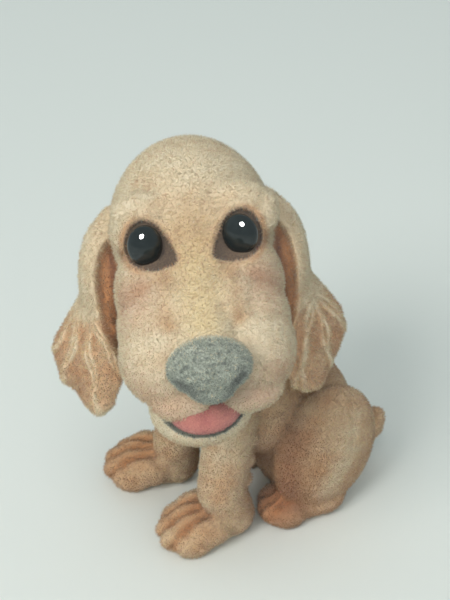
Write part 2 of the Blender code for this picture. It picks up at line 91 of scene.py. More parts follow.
neck_x, neck_y, _ = (value / MM for value in joints["head_turn"]["pos_m"])
facing = Vector(joints["head_tilt"]["axis"])
head_turn = math.degrees(math.atan2(facing.x, -facing.y))
BODY = Matrix.Translation((neck_x, neck_y + NECK_AHEAD, 0))
head_at = Vector((neck_x, neck_y, HEAD_HEIGHT)) + facing * HEAD_FORWARD
turned_head = stand(head_at, (0, 0, head_turn))
HEAD = turned_head @ stand((0, 0, 0), (-HEAD_LIFT, 0, 0)) @ stand((0, 0, 0), (0, -HEAD_ROLL, 0))
LEFT, RIGHT = 1, -1
print("the head is turned", round(head_turn, 1), "degrees to the dog's left")

# %% [markdown]
# ## Camera, table and lamps
# The dog looks up at someone who stands close over it, so the camera is near and well above.
# The table is one pale sheet. A small round lamp overhead, a wide window in front and a bright
# white room light it softly from above. A catch light beside the camera puts the sparkle in the
# eyes: it makes reflections only, and the other two lamps make none.

# %% Set the camera, the table and the lamps
CAMERA_AROUND, CAMERA_ABOVE, CAMERA_AWAY = 68.0, 38.0, 380.0
LENS, SENSOR, NEAREST = 71.2, 36.0, 0.01
AIM = Vector((-31.0, 0.0, 55.0))
LAMP_WATTS, LAMP_AWAY, LAMP_WIDE = 0.52, 550.0, 220.0
LAMP_LIFT = 25.0  # how far above the camera's line the round lamp hangs, degrees
WINDOW_WATTS, WINDOW_AWAY, WINDOW_WIDE = 20.0, 2000.0, 800.0
WINDOW_AROUND, WINDOW_ABOVE = 30.0, 44.0
CATCH_WATTS, CATCH_LIFT, CATCH_ASIDE = 26.0, 3.0, 4.0
ROOM_GLOW = 0.585


def srgb(colour):
    """A hex colour as three values from 0 to 1."""
    return np.array([int(colour[i:i + 2], 16) / 255 for i in (1, 3, 5)])


def linear(shade):
    """sRGB values as the linear ones that shaders and lamps want."""
    return np.where(shade <= 0.04045, shade / 12.92, ((shade + 0.055) / 1.055) ** 2.4)


def rgba(colour):
    """A hex colour as a shader socket takes it."""
    return (*linear(srgb(colour)), 1.0)


def direction(around, above):
    """Towards a place that many degrees round from the front and above the table."""
    a, e = math.radians(around), math.radians(above)
    return Vector((math.sin(a) * math.cos(e), -math.cos(a) * math.cos(e), math.sin(e)))


def aimed(name, data, target, towards, away):
    """A camera or a lamp away from its target and looking at it."""
    obj = bpy.data.objects.new(name, data)
    bpy.context.scene.collection.objects.link(obj)
    obj.location = (target + towards * away) * MM
    obj.rotation_euler = (-towards).to_track_quat("-Z", "Y").to_euler()
    return obj


def disc_lamp(name, watts, wide, colour, towards, away):
    """A round area lamp that faces the head."""
    lamp = bpy.data.lights.new(name, "AREA")
    lamp.shape, lamp.size = "DISK", wide * MM
    lamp.energy, lamp.color = watts, linear(srgb(colour))
    return aimed(name, lamp, head_at, towards, away)


lens = bpy.data.cameras.new("camera")
lens.lens, lens.sensor_width, lens.clip_start = LENS, SENSOR, NEAREST
aim = BODY @ AIM
close_above = direction(CAMERA_AROUND, CAMERA_ABOVE)
bpy.context.scene.camera = aimed("camera", lens, aim, close_above, CAMERA_AWAY)

overhead = direction(CAMERA_AROUND, CAMERA_ABOVE + LAMP_LIFT)
round_lamp = disc_lamp("round lamp", LAMP_WATTS, LAMP_WIDE, "#fffaf2", overhead, LAMP_AWAY)
in_front = direction(WINDOW_AROUND, WINDOW_ABOVE)
window = disc_lamp("window", WINDOW_WATTS, WINDOW_WIDE, "#fffdf8", in_front, WINDOW_AWAY)
beside = direction(CAMERA_AROUND + CATCH_ASIDE, CAMERA_ABOVE + CATCH_LIFT)
catch_light = disc_lamp("catch light", CATCH_WATTS, LAMP_WIDE, "#ffffff", beside, LAMP_AWAY)
catch_light.visible_diffuse = False
round_lamp.visible_glossy = window.visible_glossy = False

room = bpy.data.worlds.new("white room")
room.use_nodes = True
room.node_tree.nodes["Background"].inputs["Color"].default_value = rgba("#e6f0f0")
room.node_tree.nodes["Background"].inputs["Strength"].default_value = ROOM_GLOW
bpy.context.scene.world = room
bpy.context.scene.view_settings.view_transform = "Standard"
print("the camera is", CAMERA_AWAY, "mm from what it looks at")

# %% [markdown]
# ## A material helper
# Every finish here is a small node tree. One helper adds a node with its settings and links, so
# that a finish reads as a short list of what it is made of.

# %% Make the table
def node(tree, kind, links=None, **settings):
    """Adds a node. Settings are properties or socket values, and links feed sockets by name."""
    made = tree.nodes.new("ShaderNode" + kind)
    for name, value in settings.items():
        if name in made.inputs:
            made.inputs[name].default_value = value
        else:
            setattr(made, name, value)
    for name, source in (links or {}).items():
        tree.links.new(source, made.inputs[name])
    return made


def finish_named(name, **values):
    """A new material, its tree and its Principled shader with sockets set from values."""
    material = bpy.data.materials.new(name)
    material.use_nodes = True
    tree = material.node_tree
    shader = tree.nodes["Principled BSDF"]
    for socket, value in values.items():
        shader.inputs[socket.replace("_", " ")].default_value = value
    return material, tree, shader


def make_table(reach=1500.0):
    """A pale laminate sheet with a faint cloudiness."""
    sheet = bmesh.new()
    bmesh.ops.create_grid(sheet, x_segments=8, y_segments=8, size=reach)
    mesh = bpy.data.meshes.new("table")
    sheet.to_mesh(mesh)
    sheet.free()
    mesh.transform(Matrix.Scale(MM, 4) @ Matrix.Translation(aim - Vector((0, 0, aim.z))))
    table = bpy.data.objects.new("table", mesh)
    bpy.context.scene.collection.objects.link(table)
    laminate, tree, shader = finish_named("pale_table_laminate", Roughness=0.55, Specular_IOR_Level=0.25)
    where = node(tree, "TexCoord")
    cloud = node(tree, "TexNoise", {"Vector": where.outputs["Object"]}, Scale=3.0, Detail=1.0)
    tone = node(tree, "ValToRGB", {"Fac": cloud.outputs["Fac"]})
    tone.color_ramp.elements[0].color = rgba("#e2e8e5")
    tone.color_ramp.elements[1].color = rgba("#e6ebe8")
    tree.links.new(tone.outputs["Color"], shader.inputs["Base Color"])
    mesh.materials.append(laminate)
    table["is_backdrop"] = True
    print("the table reaches", reach, "mm each way")


make_table()

# %% [markdown]
# ## Clay tools
# The castings were modelled in clay, so the skins are too: lumps and tapering rolls are pressed
# together, and a voxel remesh runs them into one skin, which is then rubbed smooth. Metaballs
# could do this as well, but lumps keep their own sizes, and so stay close to the castings'.

# %% Press lumps of clay into one skin
TINY, FINE, COARSE = 0.3, 0.42, 0.56  # voxel edges for the nose, the face and the body


def lump(clay, at, radii, turn=(0, 0, 0)):
    """One ellipsoid of clay."""
    size = Matrix.Diagonal((*radii, 1))
    bmesh.ops.create_icosphere(clay, subdivisions=4, radius=1, matrix=stand(at, turn) @ size)


def roll(clay, *stations):
    """A tapering roll of clay through stations of (x, y, z, radius)."""
    for a, b in zip(stations, stations[1:]):
        start, end = Vector(a[:3]), Vector(b[:3])
        steps = max(2, math.ceil((end - start).length / (0.25 * min(a[3], b[3]))))
        for i in range(steps + 1):
            share = i / steps
            radius = a[3] + (b[3] - a[3]) * share
            lump(clay, start.lerp(end, share), (radius, radius, radius))


def rod(clay, start, end, radius, sides=64):
    """A round bar, for cutting bores."""
    start, end = Vector(start), Vector(end)
    along = end - start
    place = Matrix.Translation((start + end) / 2) @ along.to_track_quat("Z", "Y").to_matrix().to_4x4()
    bmesh.ops.create_cone(clay, cap_ends=True, segments=sides, radius1=radius, radius2=radius,
                          depth=along.length, matrix=place)


def object_from(name, clay):
    """Turns clay into an object."""
    mesh = bpy.data.meshes.new(name)
    clay.to_mesh(mesh)
    clay.free()
    obj = bpy.data.objects.new(name, mesh)
    bpy.context.scene.collection.objects.link(obj)
    return obj


def apply_modifiers(obj):
    """Keeps what the modifiers made as the object's own mesh."""
    bpy.context.view_layer.update()
    seen = obj.evaluated_get(bpy.context.evaluated_depsgraph_get())
    rough, obj.data = obj.data, bpy.data.meshes.new_from_object(seen)
    obj.modifiers.clear()
    bpy.data.meshes.remove(rough)
    obj.data.name = obj.name


def rub(obj, strokes):
    """Rubs the skin smooth."""
    smooth = obj.modifiers.new("rub", "SMOOTH")
    smooth.factor, smooth.iterations = 0.5, strokes
    apply_modifiers(obj)


def fuse(name, clay, voxel, strokes):
    """Runs lumps into one skin and rubs it."""
    obj = object_from(name, clay)
    skin = obj.modifiers.new("skin", "REMESH")
    skin.mode, skin.voxel_size = "VOXEL", voxel
    apply_modifiers(obj)
    rub(obj, strokes)
    print(name, "has", len(obj.data.polygons), "faces")
    return obj


def bore(obj, start, end, radius):
    """Cuts away whatever lies inside a round bar."""
    bit = bmesh.new()
    rod(bit, start, end, radius)
    drill = object_from("drill", bit)
    cut = obj.modifiers.new("bore", "BOOLEAN")
    cut.object, cut.operation, cut.solver = drill, "DIFFERENCE", "EXACT"
    apply_modifiers(obj)
    bpy.data.objects.remove(drill)


# %% [markdown]
# ## Modelling strokes
# Creases, ridges and brows are drawn on the skin with soft tools. A tool gives each point of the
# skin a strength from 0 to 1, and the same strengths later guide the airbrush.

# %% Draw on a skin with soft tools
def points_of(obj):
    """The places of a skin's points, one row each."""
    flat = np.empty(len(obj.data.vertices) * 3, np.float32)
    obj.data.vertices.foreach_get("co", flat)
    return flat.reshape(-1, 3).astype(float)


def normals_of(obj):
    """Which way the skin faces at each point."""
    flat = np.empty(len(obj.data.vertices) * 3, np.float32)
    obj.data.vertex_normals.foreach_get("vector", flat)
    return flat.reshape(-1, 3).astype(float)


def move_points(obj, points):
    obj.data.vertices.foreach_set("co", points.astype(np.float32).ravel())
    obj.data.update()


def push(obj, amount):
    """Pushes each point out along the skin's normal, or in where the amount is negative."""
    move_points(obj, points_of(obj) + normals_of(obj) * amount[:, None])


def draw_in(obj, by):
    """Draws a skin in all over, to leave room for its fibres."""
    push(obj, np.full(len(obj.data.vertices), -by))


def thumb(points, at, radii):
    """A soft round tool: 1 at its middle, about a third at its radii."""
    away = (points - np.array(at)) / np.array(radii)
    return np.exp(-(away ** 2).sum(1))


def wire_tool(points, path, width):
    """A soft line tool drawn along a path."""
    nearest = np.full(len(points), np.inf)
    for a, b in zip(path, path[1:]):
        a, along = np.array(a, float), np.array(b, float) - np.array(a, float)
        share = np.clip((points - a) @ along / (along @ along), 0, 1)
        nearest = np.minimum(nearest, np.linalg.norm(points - a - share[:, None] * along, axis=1))
    return np.exp(-(nearest / width) ** 2)


def ramp(value, low, high):
    """0 below low, 1 above high and smooth between."""
    share = np.clip((value - low) / (high - low), 0, 1)
    return share * share * (3 - 2 * share)


def swapped(at, side):
    """A place given for the dog's left, on its left or right."""
    return (at[0] * side, *at[1:])


def swapped_path(path, side):
    """A path given for the dog's left, on its left or right."""
    return [swapped(at, side) for at in path]


# %% [markdown]
# ## The body
# Trunk, four legs and a docked tail were cast apart and glued, and the flock then covered every
# joint, so the finished skin is one. It stays close to the castings' sizes. Behind the forelegs
# the clay has a fringe of small tufts, and grooves part the toes.

# %% Press the trunk and the legs
TOE = 4.6
LEG, FOOT = 7.7, 7.5
SHOULDER = (11, -15, 46)
TUFTS, TUFT_PITCH, LOWEST_TUFT = 8, 3.6, 16.0
FORELEGS = (  # side, wrist, heel, how far the toes point outwards
    (LEFT, (14, -19.5, 20), (13, -16, 7.5), -2),
    (RIGHT, (-13, -24, 20), (-14.5, -24, 7.5), 24),
)
FORE_TOES = ((-6.2, 14.5), (-2.2, 17.5), (2.4, 17.5), (6.4, 14))
HIND_TOES = ((9.8, 0.8), (13, -1.2), (16.4, -1), (19, 2))


def fore_foot(side, splay):
    """Which way a forefoot points: ahead, and across it."""
    ahead = Matrix.Rotation(math.radians(splay * side), 3, "Z") @ Vector((0, -1, 0))
    return ahead, Vector((-ahead.y, ahead.x, 0))


def press_trunk(clay):
    """Rump, belly and chest, and then the neck and the tail."""
    lump(clay, (0, 13, 25), (18, 17, 26.5))
    lump(clay, (0, 15, 10), (15, 14, 14))
    lump(clay, (0, 1, 38), (15, 17, 17), (-25, 0, 0))
    lump(clay, (0, -14, 48), (14.5, 14, 20))
    for side in (LEFT, RIGHT):
        lump(clay, (8 * side, -15, 46), (9, 10, 14))
    roll(clay, (0, -18, 60, 12), (0, -22, 68, 8.6), (0, -22, 80, 8))
    rod(clay, (0, -22, 70), (0, -22, 84), 8)
    roll(clay, (0, 24, 10, 5.2), (0, 34, 11, 5.2), (1, 39, 14, 4.2), (2, 40, 19, 3.2))


def press_hind_leg(clay, side):
    """A folded hind leg: the haunch, the foot under it and the toes."""
    lump(clay, (16 * side, 14, 27), (9, 16.5, 24), (-8, 0, 0))
    roll(clay, (15 * side, 15, 7, FOOT), (14.5 * side, 3, 5.5, FOOT - 1))
    for x, y in HIND_TOES:
        lump(clay, (x * side, y, TOE), (TOE * 0.82, TOE * 1.3, TOE))


def press_foreleg(clay, side, wrist, heel, splay):
    """One foreleg with its foot, its toes and the tufts behind it."""
    shoulder, turn = swapped(SHOULDER, side), (0, 0, splay * side)
    roll(clay, (*shoulder, LEG), (*wrist, LEG * 0.95), (*heel, FOOT))
    ahead, out = fore_foot(side, splay)
    roll(clay, (*heel, FOOT), (*(Vector(heel) + ahead * 13 - Vector((0, 0, 1.5))), FOOT - 0.6))
    for across, forward in FORE_TOES:
        at = Vector(heel) + ahead * forward + out * across
        lump(clay, (at.x, at.y, 5), (TOE * 0.86, TOE * 1.4, TOE * 1.1), turn)
        knuckle = at - ahead * 5 + Vector((0, 0, 0.4))
        lump(clay, knuckle, (TOE * 0.8, TOE * 1.6, TOE * 1.2), turn)
    for i in range(TUFTS):
        height = LOWEST_TUFT + TUFT_PITCH * i
        share = (height - wrist[2]) / (shoulder[2] - wrist[2])
        back_of_leg = Vector(wrist).lerp(Vector(shoulder), share)
        zigzag = side * (-1) ** i
        lump(clay, back_of_leg + Vector((zigzag, LEG - 0.8, 0)), (3.6, 2.4, 2.0), (35, 0, 0))


# %% Part the toes and finish the body
GROOVE_DEEP, GROOVE_WIDE = 1.1, 1.0
DRAIN, DRAIN_RADIUS = (0, 13), 5.0  # the hole in the seat that the slip was poured out of


def toe_grooves():
    """The paths of the grooves between the toes of all four feet."""
    paths = []
    for side, _, heel, splay in FORELEGS:
        ahead, out = fore_foot(side, splay)
        for (a, fa), (b, fb) in zip(FORE_TOES, FORE_TOES[1:]):
            across, forward = (a + b) / 2, (fa + fb) / 2
            top = Vector(heel) + ahead * (forward - 11) + out * across * 0.8 + Vector((0, 0, 6.4))
            knuckle = Vector(heel) + ahead * (forward - 1) + out * across + Vector((0, 0, 3.4))
            tip = Vector(heel) + ahead * (forward + 5.2) + out * across * 1.15 + Vector((0, 0, -3.2))
            low = Vector(heel) + ahead * (forward + 6) + out * across * 1.2 + Vector((0, 0, -6.5))
            paths.append([top, knuckle, tip, low])
    for side in (LEFT, RIGHT):
        for (xa, ya), (xb, yb) in zip(HIND_TOES, HIND_TOES[1:]):
            x, y = (xa + xb) / 2 * side, (ya + yb) / 2
            paths.append([(x, y + 6, 11), (x, y - 1, 9.5), (x, y - 6, 4), (x, y - 6.5, 1)])
    return paths


clay = bmesh.new()
press_trunk(clay)
for side in (LEFT, RIGHT):
    press_hind_leg(clay, side)
for leg in FORELEGS:
    press_foreleg(clay, *leg)
body = fuse("body_coat", clay, COARSE, 7)
draw_in(body, 0.35)
grooves = toe_grooves()
push(body, sum(-GROOVE_DEEP * wire_tool(points_of(body), path, GROOVE_WIDE) for path in grooves))
rub(body, 2)
ground_flat = points_of(body)
ground_flat[:, 2] = np.maximum(ground_flat[:, 2], 0.0)
move_points(body, ground_flat)
bore(body, (*DRAIN, -2), (*DRAIN, 14), DRAIN_RADIUS)

# %% [markdown]
# ## The head
# Skull, brows, cheeks, muzzle and jowls are one casting with a collar that hangs round the neck.
# A wide bore up the collar leaves the neck room when the head nods. The eye openings are almond
# shaped, with the inner corner drawn down towards the nose, and their floor is left bare.

# %% Press the head's lumps
SKULL = ((0, 2, 0), (22.3, 25, 26.5))  # a lump is its place and its radii
PAIRED_LUMPS = (  # pressed on both sides, and given for the dog's left
    ((11, -12.2, 14.5), (9, 5.4, 5.4)),  # brow
    ((11, -11, 9), (10, 8.5, 9)),  # round the eye
    ((11, -16.5, -6.5), (10.8, 12.8, 13.5)),  # cheek
    ((6.5, -23.5, -7.5), (10.4, 15, 11)),  # side of the muzzle
    ((10.5, -25, -12.5), (11.4, 13.5, 13.5)),  # front of the cheek
    ((10, -31.5, -16.5), (12.2, 13.5, 13)),  # jowl
)
ODD_LUMPS = (  # the two sides of a face are never quite alike
    ((18.2, -11.2, 10.5), (4.4, 6, 6)),  # outer corner of the left brow
    ((-16.6, -10.5, 8.5), (4.4, 6, 6)),  # and of the right
    ((-6.5, -39, -24.5), (9.4, 7.5, 5.6)),  # right side of the upper lip
    ((8, -37.5, -24.6), (10, 8, 5.6)),  # and left
)
BRIDGE = ((0, -12, 1, 12), (0, -38, -12, 9))
THROAT_LUMPS = (((0, -12, -20), (13, 15, 11)), ((-8, -20, -28), (9, 11, 9)))


def press_head(clay):
    """The skull, the face, the bridge of the nose and the throat."""
    lump(clay, *SKULL)
    for side in (LEFT, RIGHT):
        for at, radii in PAIRED_LUMPS:
            lump(clay, swapped(at, side), radii)
    for at, radii in ODD_LUMPS:
        lump(clay, at, radii)
    roll(clay, *BRIDGE)
    for at, radii in THROAT_LUMPS:
        lump(clay, at, radii)


# %% Find the eye openings
EYE = (11.9, -17.8, 8.4)
EYE_FRONT = -8.0  # only the face in front of this has openings
FACE_TILT = 28.0  # the face is made to be seen from this far above its own level
EYE_OUTLINE = ((-8.3, -5.8), (-6.4, -0.6), (-3.8, 4.2), (0, 6.2), (3.6, 4.9), (5.6, 1.2),
               (5.7, -3), (3, -6.4), (-1, -7.6), (-5, -7.1))
FAR_OUTSIDE = -99.0


def on_neck(height):
    """A point of the neck's axis as the level head sees it."""
    return HEAD.inverted() @ Vector((neck_x, neck_y, height))


def face_view(points):
    """Each point as seen face on: across from the nose, and up from the eyes."""
    lean = math.radians(FACE_TILT)
    up = (points[:, 1] - EYE[1]) * math.sin(lean) + (points[:, 2] - EYE[2]) * math.cos(lean)
    return points[:, 0], up


def rounded(outline, passes=2):
    """Cuts the corners of a closed outline."""
    for _ in range(passes):
        sides = zip(outline, (*outline[1:], outline[0]))
        outline = [tuple(p * (1 - t) + q * t for p, q in zip(a, b))
                   for a, b in sides for t in (0.25, 0.75)]
    return outline


def depth_inside(across, up, outline):
    """How far each point lies inside a closed outline. Outside counts as negative."""
    nearest = np.full(len(across), np.inf)
    within = np.zeros(len(across), bool)
    for (a, b), (c, d) in zip(outline, (*outline[1:], outline[0])):
        run, rise = c - a, d - b
        share = np.clip(((across - a) * run + (up - b) * rise) / (run ** 2 + rise ** 2), 0, 1)
        nearest = np.minimum(nearest, np.hypot(across - a - share * run, up - b - share * rise))
        within ^= ((b > up) != (d > up)) & (across < run * (up - b) / (rise or 1e-9) + a)
    return np.where(within, nearest, -nearest)


def eye_openings(points):
    """How far each point of the face lies inside the nearer eye opening."""
    best = np.full(len(points), FAR_OUTSIDE)
    for side in (LEFT, RIGHT):
        across, up = face_view(points)
        depth = depth_inside(across * side - EYE[0], up, rounded(EYE_OUTLINE))
        best = np.maximum(best, np.where(points[:, 1] < EYE_FRONT, depth, FAR_OUTSIDE))
    return best


# %% Fuse the head, sink the eye openings and cut the collar
COLLAR, COLLAR_BORE, COLLAR_FOOT = 16.5, 13.0, 77.0
CHEEK_FOLD = ((8, -26, -2), (10, -32, -6))
LIP_CLEFT = ((0.5, -47, -19), (0.5, -43, -27))

clay = bmesh.new()
press_head(clay)
roll(clay, (*on_neck(80), COLLAR), (*on_neck(93), COLLAR))
head = fuse("head_coat", clay, FINE, 24)
draw_in(head, 0.4)
points = points_of(head)
forehead = thumb(points, (0, -16, 16), (9, 9, 5))
cheek_folds = sum(wire_tool(points, swapped_path(CHEEK_FOLD, side), 3.0) for side in (LEFT, RIGHT))
lip_cleft = wire_tool(points, LIP_CLEFT, 1.6)
push(head, -0.15 * cheek_folds - 1.2 * lip_cleft + 0.3 * forehead)
opening = eye_openings(points_of(head))
face_tilt = math.radians(FACE_TILT)
back = np.array((0, math.cos(face_tilt), -math.sin(face_tilt)))
recess = 1.2 * ramp(opening, -0.1, 0.7)
lid = 0.5 * np.exp(-((opening + 0.9) / 0.8) ** 2)
move_points(head, points_of(head) + back * (recess - lid)[:, None])
bore(head, on_neck(50), on_neck(COLLAR_FOOT), 30)
bore(head, on_neck(70), on_neck(HEAD_HEIGHT), COLLAR_BORE)

# %% [markdown]
# ## The ears
# Each ear leaves the side of the skull, folds forward and flares into a fan of wavy strands.
# The strands are thin ridges that spread from a narrow waist, and the flat clay between them is
# later sprayed darker. No two are alike, so each ear has a short table of its strands' angles and
# bends, and one function draws them all.

# %% Press an ear
EAR_TOP = 9.0
EAR_DROOP = 2.4  # the head is rolled, so both ears hang this far over to one side, degrees
EAR_LENGTH = {LEFT: 57.0, RIGHT: 55.0}
EAR_TWIST = 48.0  # how far the fan is turned to face outwards
EAR_PROFILE = (  # share of the length, x, y, half thickness, half width, share of the twist
    (0.06, 20.0, 3.0, 4.2, 5.5, 0.0),
    (0.13, 23.8, 0.5, 4.8, 8.0, 0.0),
    (0.20, 25.4, -1.0, 4.8, 8.6, 0.0),
    (0.30, 26.2, -2.0, 4.8, 9.0, 0.1),
    (0.43, 26.4, -3.5, 4.5, 9.6, 0.35),
    (0.53, 28.2, -4.0, 4.6, 11.0, 0.7),
    (0.66, 31.2, -4.2, 4.8, 12.8, 0.95),
    (0.77, 31.5, -4.8, 4.6, 12.6, 1.0),
    (0.90, 30.0, -6.5, 4.0, 8.4, 1.0),
)


def press_ear(clay, side):
    """One flat roll of clay along the ear's middle line, and the fold beside the cheek."""
    profile = np.array(EAR_PROFILE)
    plumb = math.tan(math.radians(EAR_DROOP))
    for share in np.linspace(profile[0, 0], profile[-1, 0], 30):
        x, y, thick, wide, twist = (np.interp(share, profile[:, 0], column)
                                    for column in profile.T[1:])
        down = share * EAR_LENGTH[side]
        at = (x * side - plumb * down, y, EAR_TOP - down)
        lump(clay, at, (thick, wide, 5), (0, 0, -EAR_TWIST * twist * side))
    lump(clay, (22.5 * side, -5, EAR_TOP - 20.5), (5, 7, 13))


# %% Draw the strands and the fold
WAIST = {LEFT: (30.3, -15.5), RIGHT: (31, -12.5)}  # where the strands spread from, face on
STRANDS = {  # angle from straight down, outwards, and how far the strand bends at its tip
    LEFT: ((-58, 3), (-44, 2), (-31, -3), (-19, 2.5), (-9, -2), (3, 2), (14, -2), (27, 3),
           (41, -2)),
    RIGHT: ((-50, -3), (-37, -3.5), (-27, 2), (-14, -2.5), (-5, 2), (7, -2), (17, 3), (30, -2),
            (42, 1)),
}
EAR_RIM = ((27, 0, 8), (29, -5, -4), (30, -7, -12))
FOLD = {  # outline of the hollow where the ear folds forward beside the cheek, face on
    LEFT: ((21.5, 4), (24.5, 0), (26.3, -6), (26.5, -13), (25.5, -21), (22.5, -29), (19, -10)),
    RIGHT: ((21, 4), (24.5, 1), (26.8, -5), (27.3, -12), (27, -19), (25.5, -27), (21, -32),
            (19, -10)),
}
RIDGE, WAVE = 0.95, 0.8  # how far the strands and the scalloped hem stand out


def from_waist(points, side):
    """Each point of an ear as seen from the waist of its fan: how far, and at what angle."""
    across, up = face_view(points)
    out, down = across * side - WAIST[side][0], WAIST[side][1] - up
    return np.hypot(out, down), np.degrees(np.arctan2(out, down))


def strands(points, side):
    """1 along the crest of each strand and 0 between strands."""
    away, angle = from_waist(points, side)
    crest = np.zeros(len(points))
    for aim_angle, bend in STRANDS[side]:
        wander = 0.5 * np.sin(away * 0.5 + aim_angle)
        beside = np.radians(angle - aim_angle) * away - bend * (away / 22) ** 2 - wander
        strength = 0.75 + 0.25 * np.sin(away * 0.4 + 2 * aim_angle)
        crest = np.maximum(crest, strength * np.exp(-(beside / (0.5 + away * 0.01)) ** 2))
    rim = wire_tool(points, swapped_path(EAR_RIM, side), 1.6)
    crest = crest * ramp(away, 1, 5) * ramp(np.abs(angle), 78, 64)
    return np.maximum(crest, rim * ramp(away, 0, 4))


def ear_fold(points, normals, side):
    """1 in the hollow of the fold."""
    across, up = face_view(points)
    inside = depth_inside(across * side, up, rounded(FOLD[side]))
    return ramp(inside, -0.4, 1.8) * ramp(-normals[:, 1], -0.2, 0.3)


def make_ear(side, name):
    """Presses an ear, raises its strands and sinks its fold."""
    clay = bmesh.new()
    press_ear(clay, side)
    ear = fuse(name, clay, FINE, 10)
    draw_in(ear, 0.35)
    points = points_of(ear)
    away, angle = from_waist(points, side)
    low = ramp(away, 2, 10) * ramp(np.abs(angle), 80, 60)
    wave = np.cos(np.radians(angle * 15 + 40 * side)) * ramp(away, 17, 25) * WAVE
    push(ear, low * (RIDGE * strands(points, side) - 0.35) + wave * low)
    rub(ear, 1)
    points, normals = points_of(ear), normals_of(ear)
    sunk = ear_fold(points, normals, side)
    move_points(ear, points + sunk[:, None] * np.array((0.2 * side, 2.0, 0)))
    rub(ear, 2)
    return ear


ears = {LEFT: make_ear(LEFT, "ear_left_coat"), RIGHT: make_ear(RIGHT, "ear_right_coat")}

# %% [markdown]
# ## Jaw, tongue and nose
# The mouth hangs open. The jaw is dished, the tongue lies in the dish, and the nose is a soft
# rounded triangle with two comma-shaped nostrils pressed into it.

# %% Model the jaw, the tongue and the nose
JAW, JAW_SIZE = (-3.2, -29, -33), (13.2, 15.6, 9)
MOUTH, MOUTH_SIZE = (-2.4, -37, -27.5), (9.5, 12, 5.5)
TONGUE_SIZE = (9.7, 12.0, 4.9)
TONGUE_GROOVE = ((-2.4, -50, -27), (-2.4, -36, -21.5))
NOSE = (0, -48.5, -11.7)
NOSTRIL = ((7.6, -53, -12.6), (5.4, -54.3, -14.6), (5.0, -53.6, -17))


def mouth_reach(points):
    """1 on the wall of the dish in the jaw, less inside it."""
    return np.linalg.norm((points - np.array(MOUTH)) / np.array(MOUTH_SIZE), axis=1)


def make_jaw():
    """A lump with a dish pressed into its top."""
    clay = bmesh.new()
    lump(clay, JAW, JAW_SIZE, (-6, 0, 0))
    jaw = fuse("lower_jaw_coat", clay, 0.35, 2)
    points = points_of(jaw)
    reach = np.minimum(mouth_reach(points), 1)
    points[:, 2] -= MOUTH_SIZE[2] * (1 - reach ** 2) * 0.9
    move_points(jaw, points)
    rub(jaw, 3)
    return jaw


def make_tongue():
    """A lump that fills the dish, with a groove along its middle."""
    clay = bmesh.new()
    lump(clay, (MOUTH[0], MOUTH[1] + 0.3, MOUTH[2] - 0.5), TONGUE_SIZE)
    tongue = fuse("tongue_coat", clay, TINY, 4)
    push(tongue, -0.6 * wire_tool(points_of(tongue), TONGUE_GROOVE, 2.0))
    return tongue


def make_nose():
    """Two lumps that make a soft triangle, with the nostrils pressed in."""
    clay = bmesh.new()
    lump(clay, (NOSE[0], NOSE[1], NOSE[2] + 1), (10, 6, 7))
    lump(clay, (NOSE[0], NOSE[1] + 0.6, NOSE[2] - 3), (6.4, 6, 5.4))
    nose = fuse("nose_coat", clay, TINY, 8)
    points = points_of(nose)
    nostrils = sum(wire_tool(points, swapped_path(NOSTRIL, side), 1.0) for side in (LEFT, RIGHT))
    push(nose, -2.0 * nostrils)
    rub(nose, 1)
    return nose


jaw, tongue, nose = make_jaw(), make_tongue(), make_nose()

# %% [markdown]
# ## Glass eyes
# The eyes are pressed glass beads, a little flatter than a ball and turned slightly inwards.
# A smooth skin matters more here than anywhere, because the lamp shows every facet as a kink in
# its reflection, so the beads are finely divided and aren't remeshed.

# %% Model the glass eyes
BEAD = (4.5, 3.0, 5.4)  # half its width, depth and height
BEAD_SEAT = (-0.2, -1.9, 0.3)  # from the middle of the eye opening's floor
TOE_IN = 14.0


def make_eye(side, name):
    """One bead, turned inwards."""
    glass = bmesh.new()
    at = Vector(swapped(EYE, side)) + Vector(BEAD_SEAT)
    size = Matrix.Diagonal((BEAD[0], BEAD[2], BEAD[1], 1))
    place = stand(at, (0, 0, -TOE_IN * side)) @ stand((0, 0, 0), (90, 0, 0)) @ size
    bmesh.ops.create_uvsphere(glass, u_segments=64, v_segments=40, radius=1, matrix=place)
    return object_from(name, glass)


eyes = [make_eye(LEFT, "eye_left_glass"), make_eye(RIGHT, "eye_right_glass")]
print("the beads are", 2 * BEAD[0], "by", 2 * BEAD[2], "mm")

# %% [markdown]
# ## Airbrushing
# A flocked figurine is sprayed after flocking: cream fibres are shaded with tan and orange-brown
# in the hollows. The colour is kept as one value for each point of the skin. Each spray mixes a
# colour in as strongly as a soft tool says. The skin and the fibres both take their colour here.
# Some sprays are painted light: shade by belly, hind feet and ear folds, and a highlight on each haunch.

# %% Mix and spray
CREAM, STRAW, ROSE = "#e0d2b8", "#dcc89c", "#c79f88"
PALE, TAN, ORANGE, BROWN = "#dccaab", "#c9a47c", "#bd8150", "#8f5f43"


def sprayed(points, colour):
    """A coat of one colour, as sRGB values from 0 to 1."""
    return np.tile(srgb(colour), (len(points), 1))


def spray(tint, colour, strength):
    """Mixes a colour into the coat."""
    share = np.clip(strength, 0, 1)[:, None]
    return tint * (1 - share) + sprayed(tint, colour) * share


def blotches(points, size, seed):
    """Soft uneven patches of about that size, from 0 to 1: a spray is never quite even."""
    draw = np.random.default_rng(seed)
    total = np.zeros(len(points))
    for _ in range(7):
        wave = draw.normal(size=3) / size
        total += np.sin(points @ wave * math.tau * 0.5 + draw.uniform(0, math.tau))
    return np.clip(0.5 + total / 7, 0, 1)


# %% The body's colours
# the brown is painted shade on the hind feet, and the orange is the airbrush in the toe grooves
HIND_FOOT_SHADE_BROWN, GROOVE_ORANGE = "#8a5b49", "#c27d48"
HAUNCH_PAINTED_HIGHLIGHT = ((21, 24, 46), (25, 18, 30), (25, 12, 16))  # a painted highlight down the outside of a haunch
HAUNCH_PAINTED_SHADE = ((20, 2, 38), (20, 0, 32), (21, 0, 20), (17, 4, 11))  # painted shade along its front edge, where it meets the belly
